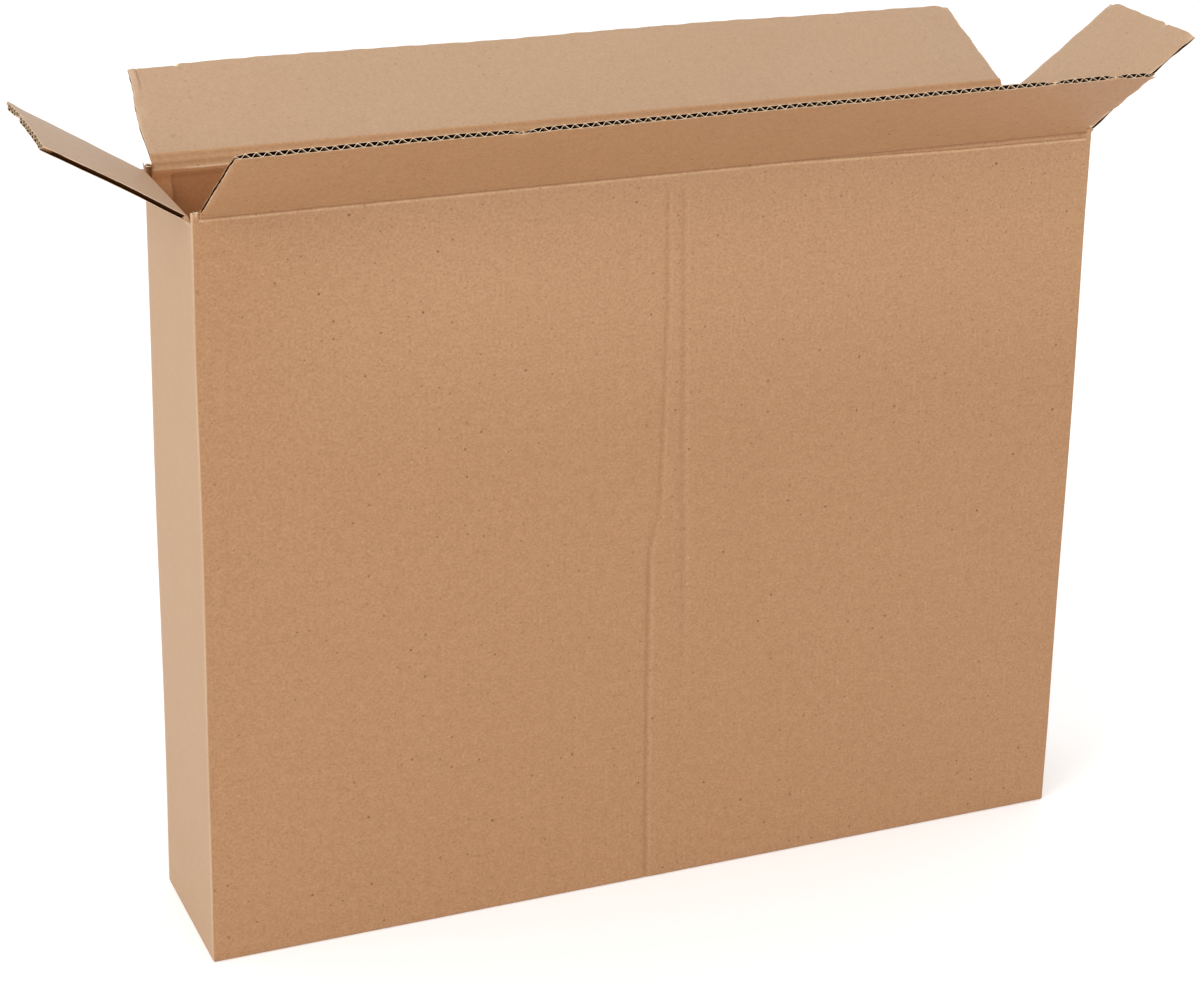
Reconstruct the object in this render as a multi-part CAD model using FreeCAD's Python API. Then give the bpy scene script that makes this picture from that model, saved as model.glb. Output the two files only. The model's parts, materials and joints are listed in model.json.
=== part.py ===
# A long, tall and slim slotted carton of single-wall corrugated board. It stands on its
# glued bottom, and its four top flaps are open and lean outwards.
# The origin is the centre of the footprint, at the floor. +X runs along the long front
# wall, -Y is the front and +Z is up.
import FreeCAD
import Part
import math
import os
from FreeCAD import Placement, Rotation, Vector

# Driving dimensions, in millimetres and degrees
inside_length = 711.0
inside_depth = 124.0
front_crease_height = 584.0
front_flap_length = 113.0
bottom_flap_length = 113.0
board = 4.0
liner = 0.45
medium = 0.45
flute_pitch = 7.8
flute_crest = 2.0
fold_radius = 2.0
bottom_fold = 1.5
slot_width = 10.0
post_rise = 5.5
crease_crush = 8.0
fold_gap = 0.3
flute_closure = 6.0
tab_width = 15.0
tab_drop = 6.0
bottom_side_gap = 1.0
flap_turn = {"front_flap": 54.0, "back_flap": 66.0, "left_flap": 59.0, "right_flap": 53.0}

# The blank is folded round the inside, so the outside is one board thicker on each side.
# Each flap closes over the last, so its crease is one board and a gap above it.
outer_length = inside_length + 2 * board
outer_depth = inside_depth + 2 * board
closed_step = board + fold_gap
crease_height = {
    "left_flap": front_crease_height - closed_step,
    "right_flap": front_crease_height - closed_step,
    "front_flap": front_crease_height,
    "back_flap": front_crease_height + closed_step,
}
top_cut = front_crease_height + front_flap_length
slot_floor = front_crease_height + post_rise
long_span = outer_length - slot_width
short_span = outer_depth - slot_width
crease_span = {
    "front_flap": long_span,
    "back_flap": long_span,
    "left_flap": short_span,
    "right_flap": short_span,
}

# Each wall turns its flap's local frame about Z and stands off from the origin:
# local +X runs along the crease, +Y points into the box and +Z is up.
wall_turn = {"front_flap": 0.0, "right_flap": 90.0, "back_flap": 180.0, "left_flap": -90.0}
wall_offset = {
    "front_flap": outer_depth / 2,
    "back_flap": outer_depth / 2,
    "left_flap": outer_length / 2,
    "right_flap": outer_length / 2,
}

# The crushed crease opens as two bevels that meet when a flap is closed: a steep one on
# the wall and a shallow one on the flap. Both start at the outer liner, which is the hinge.
wall_bevel = math.atan2(crease_crush, board)
flap_bevel = math.pi / 2 - wall_bevel
wall_relief = fold_gap / 2 / math.cos(wall_bevel)
flap_relief = fold_gap / 2 / math.cos(flap_bevel)


def profile_prism(points, width):
    """A prism along local X, centred on it, from a closed profile of (y, z) points."""
    corners = [Vector(-width / 2, y, z) for y, z in points]
    face = Part.Face(Part.makePolygon(corners + corners[:1]))
    return face.extrude(Vector(width, 0, 0))


def on_wall(shape, name, height):
    """Move a shape from a wall's own frame to its place on the carton."""
    turn = Rotation(Vector(0, 0, 1), wall_turn[name])
    foot = turn.multVec(Vector(0, -wall_offset[name], 0)) + Vector(0, 0, height)
    placed = shape.copy()
    placed.Placement = Placement(foot, turn).multiply(shape.Placement)
    return placed


def centred_box(length, depth, low, high, x=0.0, y=0.0):
    """A box centred on (x, y) that reaches from low to high."""
    corner = Vector(x - length / 2, y - depth / 2, low)
    return Part.makeBox(length, depth, high - low, corner)


def wall_tube():
    """Four walls and the outer bottom layer, with rounded corners and a pressed bottom fold."""
    block = centred_box(outer_length, outer_depth, 0, crease_height["back_flap"])
    corners = [edge for edge in block.Edges if edge.BoundBox.ZLength > front_crease_height / 2]
    block = block.makeFillet(fold_radius, corners)
    bottom_folds = [edge for edge in block.Edges if edge.BoundBox.ZMax < board]
    block = block.makeChamfer(bottom_fold, bottom_folds)
    cavity = centred_box(inside_length, inside_depth, board, top_cut)
    return block.cut(cavity)


def bottom_layers():
    """The other bottom flaps, inside the outer one: the front one, then the two short ones."""
    reach = bottom_flap_length - board
    front_width = inside_length - 2 * bottom_side_gap
    front_y = -inside_depth / 2 + reach / 2
    layers = [centred_box(front_width, reach, board, 2 * board, y=front_y)]
    for side in (-1, 1):
        middle = side * (inside_length - reach) / 2
        short_depth = inside_depth - 2 * bottom_side_gap
        layers.append(centred_box(reach, short_depth, 2 * board, 3 * board, x=middle))
    return layers


def bottom_step():
    """The strip under the box that the outer bottom flap is too short to cover."""
    strip = inside_depth - (bottom_flap_length - board)
    middle = (strip - inside_depth) / 2
    return centred_box(inside_length, strip, 0, board, y=middle)


def glue_tab():
    """The tab of the left wall that is glued to the inside of the back wall."""
    x = (tab_width - inside_length) / 2
    y = (inside_depth - board) / 2
    top = crease_height["left_flap"] - tab_drop
    return centred_box(tab_width, board, 2 * board, top, x=x, y=y)


def crease_cutter(name):
    """Takes the crushed bevel off the top of one wall, between its two slots."""
    high = -wall_relief
    low = high - crease_crush
    above = top_cut - crease_height[name]
    profile = [(-board, above), (-board, high), (0, high), (board, low), (board, above)]
    return on_wall(profile_prism(profile, crease_span[name]), name, crease_height[name])


def corner_cutters():
    """The slots at the corners, which end above the creases and leave short posts there."""
    cutters = []
    for x_side in (-1, 1):
        for y_side in (-1, 1):
            x = x_side * outer_length / 2
            y = y_side * outer_depth / 2
            cutters.append(centred_box(slot_width, slot_width, slot_floor, top_cut, x=x, y=y))
    return cutters


def carton_body():
    """Walls, bottom and glue tab: one folded sheet."""
    body = wall_tube()
    body = body.cut([bottom_step()])
    body = body.fuse(bottom_layers() + [glue_tab()])
    body = body.cut([crease_cutter(name) for name in wall_turn] + corner_cutters())
    return body.removeSplitter()


def flute_channel(centre, root, tip, low, high):
    """One open flute: a prism along the flap with its wide side on a liner at root."""
    wide = flute_pitch / 2 - flute_crest / 2 - medium
    narrow = flute_crest / 2
    corners = [
        Vector(centre - wide, root, low),
        Vector(centre + wide, root, low),
        Vector(centre + narrow, tip, low),
        Vector(centre - narrow, tip, low),
    ]
    face = Part.Face(Part.makePolygon(corners + corners[:1]))
    return face.extrude(Vector(0, 0, high - low))


def flute_channels(width, length):
    """All open flutes of a flap, on both sides of the wavy medium.

    A whole number of flutes fits between the slots, so both side edges show an open one.
    """
    count = round(width / flute_pitch)
    pitch = width / count
    near_outside = liner
    near_inside = board - liner
    channels = []
    for step in range(2 * count + 1):
        centre = -width / 2 + step * pitch / 2
        if step % 2:
            root, tip = near_inside, near_outside + medium
        else:
            root, tip = near_outside, near_inside - medium
        channels.append(flute_channel(centre, root, tip, flute_closure, length + board))
    return channels


def flap(name):
    """A flap that leans outwards about its crease, with its flutes open at the cut edge."""
    width = crease_span[name] - 2 * fold_gap
    length = top_cut - crease_height[name]
    bevel_top = flap_relief + board * math.tan(flap_bevel)
    profile = [(0, flap_relief), (board, bevel_top), (board, length), (0, length)]
    sheet = profile_prism(profile, width)
    sheet = sheet.cut(flute_channels(width, length))
    sheet.rotate(Vector(0, 0, 0), Vector(1, 0, 0), flap_turn[name])
    return on_wall(sheet, name, crease_height[name])


os.makedirs("parts", exist_ok=True)
carton_body().exportStep("parts/carton_body.step")
for flap_name in flap_turn:
    flap(flap_name).exportStep(f"parts/{flap_name}.step")
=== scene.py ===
import json
import math

import bpy
import numpy as np
from mathutils import Matrix, Vector


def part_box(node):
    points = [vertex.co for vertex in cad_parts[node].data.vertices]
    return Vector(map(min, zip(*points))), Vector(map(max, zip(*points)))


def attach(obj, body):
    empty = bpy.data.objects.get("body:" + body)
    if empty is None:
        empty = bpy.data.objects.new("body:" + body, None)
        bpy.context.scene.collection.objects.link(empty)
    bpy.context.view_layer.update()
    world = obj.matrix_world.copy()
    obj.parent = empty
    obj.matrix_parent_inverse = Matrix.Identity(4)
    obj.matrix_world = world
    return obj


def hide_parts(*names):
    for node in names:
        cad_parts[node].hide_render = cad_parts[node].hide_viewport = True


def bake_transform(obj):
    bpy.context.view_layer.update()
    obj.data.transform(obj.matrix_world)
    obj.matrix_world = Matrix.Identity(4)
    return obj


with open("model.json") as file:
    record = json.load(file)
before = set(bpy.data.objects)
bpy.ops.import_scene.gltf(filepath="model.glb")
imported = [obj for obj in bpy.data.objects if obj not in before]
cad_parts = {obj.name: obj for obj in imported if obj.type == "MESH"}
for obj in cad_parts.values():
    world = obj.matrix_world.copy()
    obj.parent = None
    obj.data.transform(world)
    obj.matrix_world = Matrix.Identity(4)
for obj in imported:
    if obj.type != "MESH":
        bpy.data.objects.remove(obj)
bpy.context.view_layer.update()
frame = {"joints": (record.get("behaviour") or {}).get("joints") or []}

# The set: a plain white sweep under one large soft lamp at the left and an even white surround.
# The camera stands in front of the carton, a little to its left and above its top edge, and its
# small shift keeps the whole carton in the frame.
scene = bpy.context.scene
scene.view_settings.view_transform = "Standard"

floor_reach = 9.0
floor_drop = 0.0002
floor_tone = (0.96, 0.96, 0.96, 1.0)
floor_corners = [
    (-floor_reach, -floor_reach, -floor_drop),
    (floor_reach, -floor_reach, -floor_drop),
    (floor_reach, floor_reach, -floor_drop),
    (-floor_reach, floor_reach, -floor_drop),
]
floor_mesh = bpy.data.meshes.new("studio_floor")
floor_mesh.from_pydata(floor_corners, [], [(0, 1, 2, 3)])
floor = bpy.data.objects.new("studio_floor", floor_mesh)
scene.collection.objects.link(floor)

floor_finish = bpy.data.materials.new("studio_floor")
floor_finish.use_nodes = True
floor_nodes = floor_finish.node_tree.nodes
floor_links = floor_finish.node_tree.links
floor_paint = floor_nodes["Principled BSDF"]
floor_paint.inputs["Base Color"].default_value = floor_tone
floor_paint.inputs["Roughness"].default_value = 0.9
floor_paint.inputs["Specular IOR Level"].default_value = 0.1
floor_paint.inputs["Emission Color"].default_value = (1.0, 1.0, 1.0, 1.0)
floor_paint.inputs["Emission Strength"].default_value = 0.13
floor_clear = floor_nodes.new("ShaderNodeBsdfTransparent")
floor_side = floor_nodes.new("ShaderNodeNewGeometry")
floor_mix = floor_nodes.new("ShaderNodeMixShader")
floor_links.new(floor_side.outputs["Backfacing"], floor_mix.inputs["Fac"])
floor_links.new(floor_paint.outputs["BSDF"], floor_mix.inputs[1])
floor_links.new(floor_clear.outputs["BSDF"], floor_mix.inputs[2])
floor_links.new(floor_mix.outputs["Shader"], floor_nodes["Material Output"].inputs["Surface"])
floor_mesh.materials.append(floor_finish)

surround = bpy.data.worlds.new("studio_surround")
surround.use_nodes = True
surround.node_tree.nodes["Background"].inputs["Color"].default_value = (1.0, 1.0, 1.0, 1.0)
surround.node_tree.nodes["Background"].inputs["Strength"].default_value = 1.0
scene.world = surround

for lamp_name, lamp_place, lamp_size, lamp_power in (
    ("key_lamp", (-3.1, -1.4, 2.4), 2.2, 62.0),
    ("fill_lamp", (1.6, -3.4, 1.6), 2.6, 14.0),
):
    lamp_data = bpy.data.lights.new(lamp_name, "AREA")
    lamp_data.size = lamp_size
    lamp_data.energy = lamp_power
    lamp = bpy.data.objects.new(lamp_name, lamp_data)
    lamp.location = lamp_place
    lamp_aim = Vector((0.0, 0.0, 0.35)) - Vector(lamp_place)
    lamp.rotation_mode = "QUATERNION"
    lamp.rotation_quaternion = lamp_aim.to_track_quat("-Z", "Y")
    scene.collection.objects.link(lamp)

frame_width = 1200.0
frame_height = 984.0
focal_pixels = 2911.4757
centre_x, centre_y = 640.0, 320.0
azimuth, elevation, roll = -0.41266, 0.33007, 0.02307
camera_place = (-0.84283, -1.94132, 1.1736)
to_camera = Vector((
    math.sin(azimuth) * math.cos(elevation),
    -math.cos(azimuth) * math.cos(elevation),
    math.sin(elevation),
))
level_right = (-to_camera).cross(Vector((0.0, 0.0, 1.0))).normalized()
level_up = level_right.cross(-to_camera)
camera_right = level_right * math.cos(roll) + level_up * math.sin(roll)
camera_up = level_up * math.cos(roll) - level_right * math.sin(roll)
camera_data = bpy.data.cameras.new("photo_camera")
camera_data.sensor_width = 36.0
camera_data.lens = focal_pixels / frame_width * camera_data.sensor_width
camera_data.shift_x = (frame_width / 2 - centre_x) / frame_width
camera_data.shift_y = (centre_y - frame_height / 2) / frame_width
camera_data.clip_start = 0.05
camera = bpy.data.objects.new("photo_camera", camera_data)
camera.matrix_world = Matrix((
    (camera_right.x, camera_up.x, to_camera.x, camera_place[0]),
    (camera_right.y, camera_up.y, to_camera.y, camera_place[1]),
    (camera_right.z, camera_up.z, to_camera.z, camera_place[2]),
    (0.0, 0.0, 0.0, 1.0),
))
scene.collection.objects.link(camera)
scene.camera = camera

# The four walls are one sheet of single-wall corrugated board, folded to a tube at four crushed
# vertical creases. Short cut posts stand at the corners between the flap slots, and the wide
# front wall carries two faint creases down its middle, where the flat blank was once folded.
board = 0.004
flute_pitch = 0.0078
front_flap_length = 0.113
slot_half = 0.005
slot_gap = 0.0003
corner_radius = 0.0012
inner_corner_radius = 0.0005
bottom_radius = 0.0018
outside_end = 0.0068
inside_end = 0.0095

_, body_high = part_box("carton_body")
half_length = body_high.x
half_depth = body_high.y
sides = {
    "front_flap": {"turn": 0.0, "half": half_length, "offset": half_depth, "start": 0.0},
    "right_flap": {"turn": 90.0, "half": half_depth, "offset": half_length, "start": 0.5},
    "back_flap": {"turn": 180.0, "half": half_length, "offset": half_depth, "start": 1.0},
    "left_flap": {"turn": 270.0, "half": half_depth, "offset": half_length, "start": 1.5},
}
for joint in frame["joints"]:
    side = sides[joint["child"]]
    side["crease"] = joint["pos_m"][2]
    side["lean"] = math.radians(-joint["range_deg"][0] - 90.0)
blank_top = sides["front_flap"]["crease"] + front_flap_length
post_top = body_high.z


class Term:
    """A socket of a node tree. Arithmetic on it adds Math nodes, and node() adds any other node."""

    def __init__(self, tree, socket=None):
        self.tree = tree
        self.socket = socket

    def node(self, kind, settings=None, values=None, output=0):
        made = self.tree.nodes.new(kind)
        for setting, value in (settings or {}).items():
            setattr(made, setting, value)
        for key, value in (values or {}).items():
            if isinstance(value, Term):
                self.tree.links.new(value.socket, made.inputs[key])
            else:
                made.inputs[key].default_value = value
        return Term(self.tree, made.outputs[output])

    def maths(self, operation, *terms):
        return self.node("ShaderNodeMath", {"operation": operation}, dict(enumerate(terms)))

    def __add__(self, other):
        return self.maths("ADD", self, other)

    __radd__ = __add__

    def __sub__(self, other):
        return self.maths("SUBTRACT", self, other)

    def __rsub__(self, other):
        return self.maths("SUBTRACT", other, self)

    def __mul__(self, other):
        return self.maths("MULTIPLY", self, other)

    __rmul__ = __mul__

    def __truediv__(self, other):
        return self.maths("DIVIDE", self, other)

    def above(self, other):
        return self.maths("MAXIMUM", self, other)


def soft_step(value):
    """0 below 0, 1 above 1 and a smooth rise between them."""
    share = np.clip(value, 0.0, 1.0)
    return share * share * (3.0 - 2.0 * share)


def bell(distance, reach):
    """1 at a distance of 0, about a third at the reach and almost 0 at twice the reach."""
    return np.exp(-((distance / reach) ** 2))


def kraft_paper(name, tone, pale, grain=0.9, speck=1.0, flute=0.006, rough=0.62, gloss=0.55):
    """Brown paper of recycled fibre, with clouds, grain, fibres, specks and faint flutes.

    It follows two attributes of the mesh: sheet is the place on the flat blank, and wear is how
    far the paper is made pale (above 0), by real rubbing and by painted highlights, or darkened by
    painted shade (below 0).
    """
    finish = bpy.data.materials.new(name)
    finish.use_nodes = True
    tree = finish.node_tree
    start = Term(tree)
    place = start.node(
        "ShaderNodeAttribute", {"attribute_type": "GEOMETRY", "attribute_name": "sheet"}, output=1
    )
    wear = start.node(
        "ShaderNodeAttribute", {"attribute_type": "GEOMETRY", "attribute_name": "wear"}, output=2
    )

    def noise(vector, scale, detail, roughness=0.55):
        values = {"Vector": vector, "Scale": scale, "Detail": detail, "Roughness": roughness}
        return start.node("ShaderNodeTexNoise", None, values)

    def mixed(share, first, second):
        return start.node(
            "ShaderNodeMix", {"data_type": "RGBA"}, {0: share, 6: first, 7: second}, output=2
        )

    clouds = noise(place, 22.0, 4.0, 0.6)
    patches = noise(place, 130.0, 3.0, 0.6)
    grains = noise(place, 420.0, 4.0, 0.75)
    stretch = start.node(
        "ShaderNodeVectorMath", {"operation": "MULTIPLY"}, {0: place, 1: (330.0, 1100.0, 900.0)}
    )
    fibres = noise(stretch, 1.0, 2.0, 0.6)

    wobble = start.node(
        "ShaderNodeTexNoise", None, {"Vector": place, "Scale": 1100.0, "Detail": 1.0}, output=1
    )

    def specks(offset, scale, size, share):
        """Ragged specks in a share of the cells of a pattern: 1 at their middles, 0 around them."""
        moved = start.node(
            "ShaderNodeVectorMath", {"operation": "ADD"}, {0: place, 1: (offset, offset, 0.0)}
        )
        stir = {"operation": "MULTIPLY_ADD"}
        shifted = start.node(
            "ShaderNodeVectorMath", stir, {0: wobble, 1: (0.0016, 0.0012, 0.0), 2: moved}
        )
        cells = {"Vector": shifted, "Scale": scale}
        flat = {"voronoi_dimensions": "2D"}
        near = start.node("ShaderNodeTexVoronoi", flat, cells)
        chance = start.node("ShaderNodeTexVoronoi", flat, cells, output=1)
        first = start.node("ShaderNodeSeparateColor", None, {0: chance})
        second = start.node("ShaderNodeSeparateColor", None, {0: chance}, output=1)
        third = start.node("ShaderNodeSeparateColor", None, {0: chance}, output=2)
        chosen = first.maths("GREATER_THAN", first, 1.0 - share)
        depth = (1.0 - near / (size * (second * 0.7 + 0.3))).above(0.0)
        return depth.maths("MINIMUM", depth * 2.5, 1.0) * chosen * (third * third * 0.8 + 0.2)

    dark_specks = specks(0.0, 90.0, 0.12, 0.34)
    small_specks = specks(1.3, 230.0, 0.17, 0.22)
    pale_specks = specks(3.7, 120.0, 0.09, 0.12)
    along = start.node("ShaderNodeSeparateXYZ", None, {0: place})
    ripple = along.maths("SINE", along * (2.0 * math.pi / flute_pitch))

    tone_at = (
        0.5
        + (clouds - 0.5) * 0.07
        + (patches - 0.5) * (grain * 0.32)
        + (grains - 0.5) * grain
        + (fibres - 0.5) * (grain * 0.45)
        + ripple * (clouds * flute)
    )
    contrast = (0.44, 0.60, 0.90)
    deep = tuple(channel * (1.0 - share) for channel, share in zip(tone, contrast))
    high = tuple(channel * (1.0 + share) for channel, share in zip(tone, contrast))
    plain = mixed(tone_at, (*deep, 1.0), (*high, 1.0))
    paled = mixed(wear.above(0.0) * (grains * 1.6), plain, (*pale, 1.0))
    # Below 0 the attribute paints shade: warm brown where it is slight, near black where it is deep,
    # as inside the flutes.
    shade = (0.0 - wear).above(0.0)
    warm_painted_shade = mixed(shade, paled, (0.20, 0.065, 0.012, 1.0))
    deep_painted_shade = mixed(shade * shade, warm_painted_shade, (0.034, 0.011, 0.003, 1.0))
    spotted = mixed((dark_specks + small_specks * 0.8) * speck, deep_painted_shade, (0.17, 0.060, 0.010, 1.0))
    finished = mixed(pale_specks * (speck * 0.35), spotted, (*pale, 1.0))
    height = grains * 0.9 + fibres * 0.5 + patches * 0.5 + ripple * (flute * 10.0)
    relief = start.node(
        "ShaderNodeBump", None, {"Strength": 0.5, "Distance": 0.0003, "Height": height}
    )
    paper = tree.nodes["Principled BSDF"]
    tree.links.new(finished.socket, paper.inputs["Base Color"])
    tree.links.new(((grains - 0.5) * 0.25 + rough).socket, paper.inputs["Roughness"])
    tree.links.new(relief.socket, paper.inputs["Normal"])
    paper.inputs["Specular IOR Level"].default_value = gloss
    return finish


outside_paper = kraft_paper("kraft_outside", (0.358, 0.182, 0.078), (0.67, 0.45, 0.25))
# The short walls and their flaps take a paler, less saturated copy of the outside paper, which paints
# in the sheen that they show at a grazing angle.
short_wall_sheen_paper = kraft_paper(
    "kraft_short_walls", (0.390, 0.236, 0.127), (0.68, 0.50, 0.34), grain=0.3, speck=0.3
)
# The inner liner comes in three copies toned for light: this more saturated orange one paints the
# shade inside the walls, a paler and greyer one the lit flaps, and one between on the creases.
inside_paper = kraft_paper(
    "kraft_inside", (0.50, 0.225, 0.085), (0.70, 0.52, 0.35), grain=0.5, speck=0.6
)
cut_paper = kraft_paper(
    "kraft_cut_edge", (0.74, 0.57, 0.38), (0.88, 0.76, 0.60), speck=0.1, flute=0.0, gloss=0.3
)
# The cuts down the slots are painted dark brown for the shade inside the open flutes there.
slot_cut_shade_paper = kraft_paper(
    "kraft_slot_cut", (0.20, 0.075, 0.022), (0.70, 0.52, 0.35), speck=0.0, flute=0.0, gloss=0.0
)


def in_place(side, along, inward, up):
    """World places of points along a wall, inwards from its outer face and up from the floor."""
    turn = math.radians(side["turn"])
    across = inward - side["offset"]
    x = along * math.cos(turn) - across * math.sin(turn)
    y = along * math.sin(turn) + across * math.cos(turn)
    return np.stack([x, y, up + 0.0 * x], axis=-1)


def closed_sheet(name, near, far, near_sheet, far_sheet, finishes, wear, ring=False):
    """A closed mesh of two grids of points that are joined round their rims.

    finishes are the papers of the near face, the far face and the rims, and any others that the
    piece needs. wear is a pair, for the near and the far face. A ring closes on itself sideways.
    """
    rows, columns = near.shape[:2]
    count = rows * columns
    index = np.arange(count).reshape(rows, columns)
    after = np.roll(index, -1, axis=1) if ring else index[:, 1:]
    here = index if ring else index[:, :-1]
    near_faces = np.stack([here[:-1], after[:-1], after[1:], here[1:]], axis=-1).reshape(-1, 4)
    far_faces = near_faces[:, ::-1] + count
    bands = [
        np.stack([after[0], here[0], here[0] + count, after[0] + count], axis=-1),
        np.stack([here[-1], after[-1], after[-1] + count, here[-1] + count], axis=-1),
    ]
    if not ring:
        low, high = index[:-1, 0], index[1:, 0]
        bands.append(np.stack([low, high, high + count, low + count], axis=-1))
        low, high = index[:-1, -1], index[1:, -1]
        bands.append(np.stack([high, low, low + count, high + count], axis=-1))
    band_faces = np.concatenate(bands)
    faces = np.concatenate([near_faces, far_faces, band_faces])
    points = np.concatenate([near.reshape(-1, 3), far.reshape(-1, 3)])
    first, second, third, fourth = (points[faces[:, corner]] for corner in range(4))
    volume = (first * (np.cross(second, third) + np.cross(third, fourth))).sum()
    if volume < 0.0:
        faces = faces[:, ::-1]
    mesh = bpy.data.meshes.new(name)
    mesh.from_pydata(points.tolist(), [], faces.tolist())
    for paper in finishes:
        mesh.materials.append(paper)
    slots = [0] * len(near_faces) + [1] * len(far_faces) + [2] * len(band_faces)
    mesh.polygons.foreach_set("material_index", slots)
    sheet = mesh.attributes.new("sheet", "FLOAT_VECTOR", "POINT")
    places = np.concatenate([near_sheet.reshape(-1, 3), far_sheet.reshape(-1, 3)])
    sheet.data.foreach_set("vector", places.astype(np.float32).ravel())
    wear_and_light_layer = mesh.attributes.new("wear", "FLOAT", "POINT")
    amounts = np.concatenate([side_wear.ravel() for side_wear in wear])
    wear_and_light_layer.data.foreach_set("value", amounts.astype(np.float32))
    mesh.shade_smooth()
    mesh.set_sharp_from_angle(angle=math.radians(38.0))
    piece = bpy.data.objects.new(name, mesh)
    scene.collection.objects.link(piece)
    return piece


# The two faces of the board take the paper's pattern from two layers, so that they look unlike.
# A piece that lies close to another is shifted across the pattern for the same reason.
outer_layer = 0.0
inner_layer = 0.3


def sheet_place(side, along, out, layer):
    """Where a point lies on the flat blank, for the paper's pattern."""
    return np.stack([along + side["start"], out + 0.0 * along, 0.0 * along + layer], axis=-1)


def settled(points):
    """The slight waviness of walls that have been folded, stacked and handled."""
    x, y, z = points[..., 0], points[..., 1], points[..., 2]
    held = soft_step((0.565 - z) / 0.10) * soft_step(z / 0.08)
    push_y = (
        0.0007 * np.sin(9.0 * x + 5.0 * z + 0.6)
        + 0.0005 * np.sin(17.0 * x - 8.0 * z + 2.1)
        + 0.0003 * np.sin(31.0 * x + 14.0 * z)
    )
    push_x = 0.0005 * np.sin(7.0 * z + 12.0 * y + 0.9) + 0.0003 * np.sin(19.0 * z - 20.0 * y)
    moved = points.copy()
    moved[..., 1] += push_y * held
    moved[..., 0] += push_x * held
    return moved


def wall_columns(side, extra=()):
    """Columns of points along one wall and round its right-hand corner, from post to post.

    Each column has its outer and inner place on plan, its outward normal, the tops of its two
    faces, its place along the flat blank, and how strong a painted highlight is there, round the
    folded corner.
    """
    half = side["half"]
    cut = half - slot_half
    straight = half - corner_radius
    steps = max(int(round(2.0 * cut / 0.0065)), 12)
    middle = np.unique(np.concatenate([np.linspace(-cut, cut, steps + 1), np.array(extra)]))
    # The side of a slot is an all but upright face, this wide on plan.
    step = 0.00012
    posts = np.array([cut + step, half - corner_radius - 0.0006, straight])
    along = np.concatenate([-posts[::-1], middle, posts])
    post = np.abs(along) > cut + step / 2
    spread = (np.abs(along) - cut - step) / (straight - cut - step)
    inner_straight = half - board - inner_corner_radius
    inner_cut = cut + step
    inner_along = np.where(
        post, np.sign(along) * (inner_cut + spread * (inner_straight - inner_cut)), along
    )
    turn = np.radians([18.0, 36.0, 54.0, 72.0])
    # A highlight is painted round each folded corner, and on a short wall just before it.
    arc_highlight = [0.30, 0.18, 0.06, 0.0]
    arc_along = straight + corner_radius * np.sin(turn)
    arc_inward = corner_radius * (1.0 - np.cos(turn))
    inner_arc = inner_straight + inner_corner_radius * np.sin(turn)
    inner_arc_inward = board + inner_corner_radius * (1.0 - np.cos(turn))
    zeros = np.zeros_like(along)
    outer = in_place(side, np.append(along, arc_along), np.append(zeros, arc_inward), 0.0)
    inner = in_place(
        side, np.append(inner_along, inner_arc), np.append(zeros + board, inner_arc_inward), 0.0
    )
    lean_out = np.append(zeros, turn)
    normal_turn = math.radians(side["turn"]) - math.pi / 2 + lean_out
    normal = np.stack([np.cos(normal_turn), np.sin(normal_turn)], axis=-1)
    is_post = np.append(post, np.ones(len(turn), bool))
    torn = np.append(along, straight + corner_radius * turn) * 1900.0 + side["turn"]
    torn_top = post_top - 0.0009 * (1.0 + np.sin(torn)) * (1.0 + 0.6 * np.sin(torn * 2.3 + 1.0))
    outer_top = np.where(is_post, torn_top, side["crease"] - outside_end)
    inner_top = np.where(is_post, torn_top - 0.0004, side["crease"] - inside_end)
    flat = np.append(along, straight + corner_radius * turn) + side["start"]
    if half < half_length:
        fold = np.append(0.36 * bell(half - np.abs(along), 0.0030), arc_highlight)
    else:
        fold = np.append(0.0 * along, arc_highlight[::-1])
    return outer, inner, normal, outer_top, inner_top, flat, fold


middle_crease = np.arange(-0.018, 0.030, 0.0009)
all_columns = [
    wall_columns(side, middle_crease if side_name == "front_flap" else ())
    for side_name, side in sides.items()
]
outer_line, inner_line, normals, outer_top, inner_top, flat_line, corner_highlight_line = (
    np.concatenate(parts) for parts in zip(*all_columns)
)

fold_turn = np.radians([0.0, 22.5, 45.0, 67.5, 90.0])
fold_rise = bottom_radius * (1.0 - np.cos(fold_turn))
fold_inset = bottom_radius * (1.0 - np.sin(fold_turn))
wall_rows = np.linspace(0.006, 0.556, 80)
low_rows = np.concatenate([fold_rise, wall_rows])
insets = np.concatenate([fold_inset, np.zeros_like(wall_rows)])
top_share = np.array([0.3, 0.6, 0.85, 1.0])


def wall_grid(line, tops, rounded):
    """Rows of points up a wall from the floor to the top of each column."""
    columns = len(line)
    rise = np.concatenate([
        np.repeat(low_rows[:, None], columns, axis=1),
        low_rows[-1] + top_share[:, None] * (tops[None, :] - low_rows[-1]),
    ])
    inset = np.concatenate([insets, np.zeros(len(top_share))])[:, None]
    grid = np.zeros((*rise.shape, 3))
    grid[..., 0] = line[None, :, 0] - (normals[None, :, 0] * inset if rounded else 0.0)
    grid[..., 1] = line[None, :, 1] - (normals[None, :, 1] * inset if rounded else 0.0)
    grid[..., 2] = rise
    return grid


walls_near = settled(wall_grid(outer_line, outer_top, True))
walls_far = settled(wall_grid(inner_line, inner_top, False))

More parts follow.
